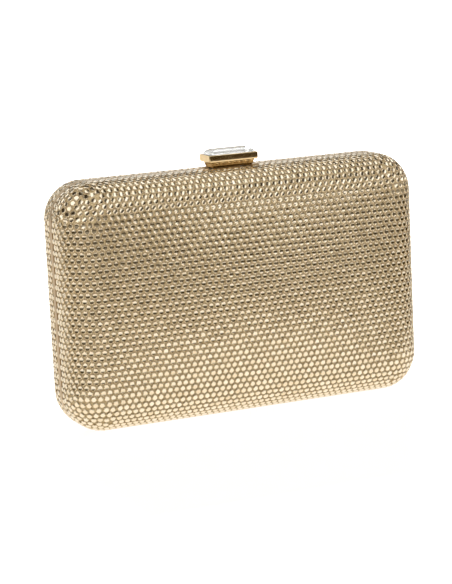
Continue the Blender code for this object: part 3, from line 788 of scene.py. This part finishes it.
def make_lining(prefix, side):
    """Satin bonded to its board: drawn smooth over the face, gathered in folds round the sides."""
    scales = [1 - step / 26 for step in range(1, 26)]
    rings = tray_rings(LINING_IN, LINING_LOW.y, (14, 96, 60), 10, scales)
    lining = skin(prefix + "_satin", rings, side, SATIN)
    depth = LINING_HIGH.y
    for vertex in lining.data.vertices:
        x, y, z = vertex.co.x, abs(vertex.co.y), vertex.co.z - HEIGHT / 2
        around = math.atan2(z / HEIGHT, x / WIDTH)
        sides = min(max((depth - SIDE_BAND - y) / SIDE_BLEND, 0.0), 1.0)
        wave = math.sin(FOLDS_AROUND * around + 2 * math.sin(5 * around))
        fold = FOLD_DEPTH * sides * (1 + wave)
        vertex.co += Vector((-x, 0.0, -z)).normalized() * fold
        long_creases = math.sin(210 * x + 90 * z + 3 * math.sin(40 * z))
        long_creases *= math.sin(60 * z - 35 * x + 1.0)
        fine_creases = 0.6 * math.sin(330 * x - 160 * z + 2 * math.sin(55 * x))
        fine_creases *= math.sin(48 * x + 20 * z)
        creases = long_creases + fine_creases
        puff = PUFF_HEIGHT * (math.cos(x * 95) * math.cos(z * 130)) ** 2
        vertex.co.y -= side * (1 - sides) * (puff + CREASE_HEIGHT * (1.6 + creases))
    thicken(lining, SATIN_T)
    smooth(lining, 60)
    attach(lining, prefix + "_half")
    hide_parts(prefix + "_lining")


# ---------------------------------------------------------------- clasp
def stacked_solid(name, sections, material, corner_segments):
    """A closed solid through level rounded rectangles (half x, half y, corner radius, z)."""
    bm = bmesh.new()
    loops = []
    for half_x, half_y, radius, z in sections:
        outline = rounded_outline(half_x, half_y, radius, corner_segments, (1, 1))
        loops.append([bm.verts.new((u, v, z)) for u, v in outline])
    bm.faces.new(loops[0][::-1])
    bm.faces.new(loops[-1])
    for first, second in zip(loops, loops[1:]):
        for index in range(len(first)):
            following = (index + 1) % len(first)
            bm.faces.new((first[index], first[following], second[following], second[index]))
    return add_mesh(name, mesh_from(name, bm), material)


CUP_X, CUP_Y = CUP_HIGH.x, CUP_HIGH.y
CUP_WALL = 0.0008
CUP_FOOT_X, CUP_FOOT_Y = 0.0096, 0.0036
CUP_FLARE = 0.0024  # height over which the cup widens from its foot
CUP_CHAMFER = 0.0012  # how far in from the band the ledge above the flare starts
CUP_LEDGE_IN, CUP_LEDGE_UP = 0.00014, 0.0003  # where that ledge ends
CUP_LIP = 0.0009  # height above the flare at which the cup is widest
CUP_LEAN = 0.00003  # how far the band leans in above that
CUP_RIM, CUP_CORNER = 0.00012, 0.0004  # the rim's ease and the outline's corner radius
CUP_DEPTH = 0.0022


def make_cup():
    """The gold cup: a narrow foot, a flare, a ledge and an upright band, all edges eased."""
    foot, top = CUP_LOW.z, CUP_HIGH.z
    shoulder = foot + CUP_FLARE
    levels = [
        (CUP_CHAMFER, CUP_CORNER, shoulder),
        (CUP_LEDGE_IN, CUP_CORNER, shoulder + CUP_LEDGE_UP),
        (0.0, CUP_CORNER, shoulder + CUP_LIP),
        (CUP_LEAN, CUP_CORNER, top - CUP_RIM),
        (CUP_LEAN + CUP_RIM, CUP_CORNER - CUP_RIM, top),
        (CUP_WALL, CUP_CORNER / 2, top),
        (CUP_WALL, CUP_CORNER / 2, top - CUP_DEPTH),
    ]
    sections = [(CUP_FOOT_X, CUP_FOOT_Y, CUP_CORNER, foot)]
    for inside, corner, z in levels:
        sections.append((CUP_X - inside, CUP_Y - inside, corner, z))
    cup = stacked_solid("clasp_cup_polished", sections, POLISHED_GOLD, 4)
    easing = cup.modifiers.new("easing", "BEVEL")
    easing.width = 0.00008
    easing.segments = 2
    easing.limit_method = "ANGLE"
    easing.angle_limit = math.radians(20)
    bpy.context.view_layer.update()
    apply_modifiers(cup)
    smooth(cup, 24)
    # the flats keep their own normals, so that the shading turns within the eased edges only
    cup.modifiers.new("even", "WEIGHTED_NORMAL").keep_sharp = True
    apply_modifiers(cup)
    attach(cup, "clasp_button")
    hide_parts("clasp_cup")


STONE_OVER = 0.00045  # how far the stone's girdle lies over the cup's rim, all round


def make_clear_stone():
    """The emerald-cut stone: three pavilion steps, a thin girdle, two crown steps and the table."""
    foot, table = STONE_LOW.z, STONE_HIGH.z
    half_x, half_y = STONE_HIGH.x + STONE_OVER, STONE_HIGH.y + STONE_OVER
    girdle = CUP_HIGH.z + 0.0001
    crown = table - girdle
    steps = [  # how far in along x and along y, and the height
        (0.0036, 0.0036, foot),
        (0.0022, 0.0022, foot + 0.25 * (girdle - foot)),
        (0.0011, 0.0011, foot + 0.60 * (girdle - foot)),
        (0.0007, 0.0007, girdle - 0.0002),
        (0.0, 0.0, girdle),
        (0.0008, 0.0007, girdle + 0.52 * crown),
        (0.0016, 0.0013, girdle + 0.84 * crown),
        (0.0026, 0.0021, table),
    ]
    sections = []
    for in_x, in_y, z in steps:
        corner = 0.0013 - 0.25 * in_x
        sections.append((half_x - in_x, half_y - in_y, corner, z))
    stone = stacked_solid("clasp_stone", sections, CLEAR_CRYSTAL, 1)
    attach(stone, "clasp_button")
    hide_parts("clasp_crystal")


# ---------------------------------------------------------------- springs
SPRING_WIRE = 0.0002  # the wire's radius


def make_spring(index):
    """A smooth coil for one return spring."""
    low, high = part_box(f"latch_spring_{index}")
    wire = SPRING_WIRE
    radius = (high.x - low.x) / 2 - wire
    centre = (low + high) / 2
    turns, per_turn = 3, 20
    curve = bpy.data.curves.new("coil", "CURVE")
    curve.dimensions = "3D"
    curve.bevel_depth = wire
    curve.bevel_resolution = 3
    curve.use_fill_caps = True
    spline = curve.splines.new("POLY")
    spline.points.add(turns * per_turn)
    for step, point in enumerate(spline.points):
        angle = 2 * math.pi * step / per_turn
        x, y = centre.x + radius * math.cos(angle), centre.y + radius * math.sin(angle)
        z = low.z + wire + (high.z - low.z - 2 * wire) * step / (turns * per_turn)
        point.co = (x, y, z, 1.0)
    made = bpy.data.objects.new("coil", curve)
    bpy.context.scene.collection.objects.link(made)
    bpy.context.view_layer.update()
    mesh = evaluated_mesh(made)
    bpy.data.objects.remove(made, do_unlink=True)
    coil = add_mesh(f"return_spring_{index}", mesh, STEEL)
    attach(coil, "back_half")
    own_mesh(coil)
    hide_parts(f"latch_spring_{index}")


# ---------------------------------------------------------------- CAD nodes that stay
def dress_cad():
    looks = {
        "shell": MOULDING,
        "lining_board": BOARD,
        "escutcheon": POLISHED_GOLD,
        "hinge_leaf": SATIN_GOLD,
        "hinge_pin": STEEL,
        "hinge_rivet": POLISHED_GOLD,
        "hook_rivet": POLISHED_GOLD,
        "catch_hook": SATIN_GOLD,
        "latch_bracket": SATIN_GOLD,
        "bracket_screw": STEEL,
        "latch_keeper": STEEL,
        "button_stem": STEEL,
        "stem_clip": STEEL,
        "crystal_foil": FOIL,
    }
    for name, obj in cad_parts.items():
        for label, material in looks.items():
            if label in name:
                obj.data.materials.clear()
                obj.data.materials.append(material)


# ---------------------------------------------------------------- camera, floor and light
CAMERA_AZ, CAMERA_EL, CAMERA_ROLL = -24.06, 10.17, -2.75
CAMERA_DISTANCE = 0.958
LENS = 132.5
SHIFT_X, SHIFT_Y = -0.0155, -0.0087


def make_camera():
    azimuth, elevation, roll = (math.radians(a) for a in (CAMERA_AZ, CAMERA_EL, CAMERA_ROLL))
    back = Vector(
        (
            math.sin(azimuth) * math.cos(elevation),
            -math.cos(azimuth) * math.cos(elevation),
            math.sin(elevation),
        )
    )
    level = Vector((math.cos(azimuth), math.sin(azimuth), 0.0))
    upright = back.cross(level)
    right = level * math.cos(roll) + upright * math.sin(roll)
    up = upright * math.cos(roll) - level * math.sin(roll)
    data = bpy.data.cameras.new("camera")
    data.lens = LENS
    data.sensor_width = 36.0
    data.shift_x, data.shift_y = SHIFT_X, SHIFT_Y
    data.clip_start = 0.01
    camera = bpy.data.objects.new("camera", data)
    bpy.context.scene.collection.objects.link(camera)
    target = Vector((0.0, 0.0, HEIGHT / 2))
    basis = Matrix((right, up, back)).transposed().to_4x4()
    camera.matrix_world = Matrix.Translation(target + back * CAMERA_DISTANCE) @ basis
    bpy.context.scene.camera = camera


PAPER_WHITE = (1.32, 1.22, 1.17, 1.0)  # brighter than the film can hold, as in a light tent
FLOOR_WINDOW_X, FLOOR_WINDOW_X_EASE = (-0.100, 0.100), 0.03
FLOOR_WINDOW_Y, FLOOR_WINDOW_Y_EASE = (-0.140, 0.010), 0.02
ACRYLIC_SHEEN = 0.18


def make_floor():
    """A lit white table. In front of the case it is clear acrylic over the light, with a faint
    mirror image, so that the front half is still seen where it swings below the table top."""
    bm = bmesh.new()
    bmesh.ops.create_circle(bm, cap_ends=True, segments=96, radius=6.0)
    material, tree, shader = new_material("pale_floor")
    colours = [(0.3, (0.86, 0.85, 0.84)), (0.7, (0.88, 0.87, 0.86))]
    paint(tree, shader.inputs["Base Color"], noise(tree, 3.0, 2.0), colours)
    shader.inputs["Roughness"].default_value = 0.6
    shader.inputs["Emission Color"].default_value = PAPER_WHITE
    shader.inputs["Emission Strength"].default_value = 1.0

    clear = tree.nodes.new("ShaderNodeBsdfTransparent")
    sheen = node(tree, "ShaderNodeBsdfGlossy", Roughness=0.22)
    acrylic = node(tree, "ShaderNodeMixShader", Fac=ACRYLIC_SHEEN)
    tree.links.new(clear.outputs["BSDF"], acrylic.inputs[1])
    tree.links.new(sheen.outputs["BSDF"], acrylic.inputs[2])

    place = tree.nodes.new("ShaderNodeSeparateXYZ")
    tree.links.new(object_coordinates(tree), place.inputs["Vector"])
    across = band(tree, place.outputs["X"], *FLOOR_WINDOW_X, FLOOR_WINDOW_X_EASE)
    along = band(tree, place.outputs["Y"], *FLOOR_WINDOW_Y, FLOOR_WINDOW_Y_EASE)
    choice = tree.nodes.new("ShaderNodeMixShader")
    tree.links.new(multiply(tree, across, along), choice.inputs["Fac"])
    tree.links.new(shader.outputs["BSDF"], choice.inputs[1])
    tree.links.new(acrylic.outputs["Shader"], choice.inputs[2])
    tree.links.new(choice.outputs["Shader"], tree.nodes["Material Output"].inputs["Surface"])

    floor = add_mesh("floor", mesh_from("floor", bm), material)
    floor.location = (0.0, 0.0, -0.0002)
    floor.visible_glossy = False


# What the stones reflect. Places run with height, from 0 straight down to 1 straight up.
TENT_FRONT = [  # the table, the dark gap beyond it and the dim wall
    (0.0, (1.12, 1.06, 0.98)),
    (0.33, (1.10, 1.05, 0.98)),
    (0.385, (1.0, 0.97, 0.92)),
    (0.410, (0.05, 0.032, 0.008)),
    (0.452, (0.04, 0.026, 0.006)),
    (0.482, (0.26, 0.235, 0.19)),
    (0.53, (0.34, 0.315, 0.27)),
]
TENT_BEHIND = [
    (0.0, (1.12, 1.06, 0.98)),
    (0.45, (0.95, 0.92, 0.87)),
    (0.48, (0.30, 0.28, 0.24)),
    (0.53, (0.24, 0.22, 0.18)),
]
BEHIND_FROM, BEHIND_TO = 0.0, 0.95  # the front turns into the back between these, along Y
LOW_WINDOW_HEIGHT, LOW_WINDOW_HEIGHT_EASE = (0.492, 0.530), 0.006
LOW_WINDOW_X, LOW_WINDOW_X_EASE = (0.35, 0.54), 0.04
LOW_WINDOW_LIGHT = (1.25, 1.25, 1.25, 1.0)
CEILING = [  # across each strip: a gap, dim cloth and the softbox itself
    (0.27, (0.03, 0.02, 0.008)),
    (0.35, (0.32, 0.295, 0.25)),
    (0.66, (0.34, 0.315, 0.27)),
    (0.78, (1.4, 1.4, 1.4)),
]
CEILING_TURN = (0.0, math.radians(-50), 0.0)
CEILING_SCALE = (1.1, 1.1, 1.1)
CEILING_STARTS = [(0.53, grey(0.0)), (0.56, grey(1.0))]


def make_world():
    """A light tent: a bright table below, a dim band at the horizon with one low window in it,
    and above it slanting strips of softbox with gaps between. The camera sees paper white."""
    world = bpy.data.worlds.new("studio")
    bpy.context.scene.world = world
    world.use_nodes = True
    tree = world.node_tree
    direction = tree.nodes.new("ShaderNodeTexCoord").outputs["Generated"]
    split = tree.nodes.new("ShaderNodeSeparateXYZ")
    tree.links.new(direction, split.inputs["Vector"])
    height = map_range(tree, split.outputs["Z"], -1.0, 1.0)

    depth = map_range(tree, split.outputs["Y"], BEHIND_FROM, BEHIND_TO, "SMOOTHSTEP")
    lower = blend(tree, depth, ramp(tree, height, TENT_FRONT), ramp(tree, height, TENT_BEHIND))
    across = band(tree, split.outputs["X"], *LOW_WINDOW_X, LOW_WINDOW_X_EASE)
    upright = band(tree, height, *LOW_WINDOW_HEIGHT, LOW_WINDOW_HEIGHT_EASE)
    lit = blend(tree, multiply(tree, upright, across), lower, LOW_WINDOW_LIGHT)

    strips = node(tree, "ShaderNodeTexWave", Scale=1.0, Distortion=1.2, Detail=0.0)
    strips.wave_type, strips.bands_direction = "BANDS", "X"
    strips.inputs["Detail Scale"].default_value = 1.5
    slant = node(tree, "ShaderNodeMapping", Rotation=CEILING_TURN, Scale=CEILING_SCALE)
    tree.links.new(direction, slant.inputs["Vector"])
    tree.links.new(slant.outputs["Vector"], strips.inputs["Vector"])
    ceiling = ramp(tree, strips.outputs["Fac"], CEILING)
    upper = blend(tree, ramp(tree, height, CEILING_STARTS), lit, ceiling)

    path = tree.nodes.new("ShaderNodeLightPath")
    seen = blend(tree, path.outputs["Is Camera Ray"], upper, PAPER_WHITE)
    tree.links.new(seen, tree.nodes["Background"].inputs["Color"])


def area_light(name, place, target, size, power, colour=(1.0, 1.0, 1.0)):
    data = bpy.data.lights.new(name, "AREA")
    data.shape = "RECTANGLE"
    data.size, data.size_y = size
    data.energy = power
    data.color = colour
    light = bpy.data.objects.new(name, data)
    bpy.context.scene.collection.objects.link(light)
    light.location = place
    light.rotation_euler = (Vector(target) - Vector(place)).to_track_quat("-Z", "Y").to_euler()
    light.visible_camera = False
    light.visible_glossy = False


def make_lights():
    middle = (0.0, 0.0, HEIGHT / 2)
    area_light("key", (-0.55, -0.9, 1.1), middle, (0.7, 0.5), 14.0)
    area_light("fill", (0.9, -0.8, 0.7), middle, (0.3, 0.9), 6.0)
    area_light("top", (0.1, 0.2, 1.4), middle, (0.9, 0.9), 10.0)
    area_light("back", (-0.4, 1.1, 0.8), middle, (0.8, 0.5), 8.0)


make_camera()
make_world()
make_floor()
make_lights()
bpy.context.scene.view_settings.view_transform = "Standard"

make_crystals()
for half_name, half_side in (("back", 1), ("front", -1)):
    make_frame(half_name, half_side)
    make_lining(half_name, half_side)
make_cup()
make_clear_stone()
make_spring(1)
make_spring(2)
dress_cad()
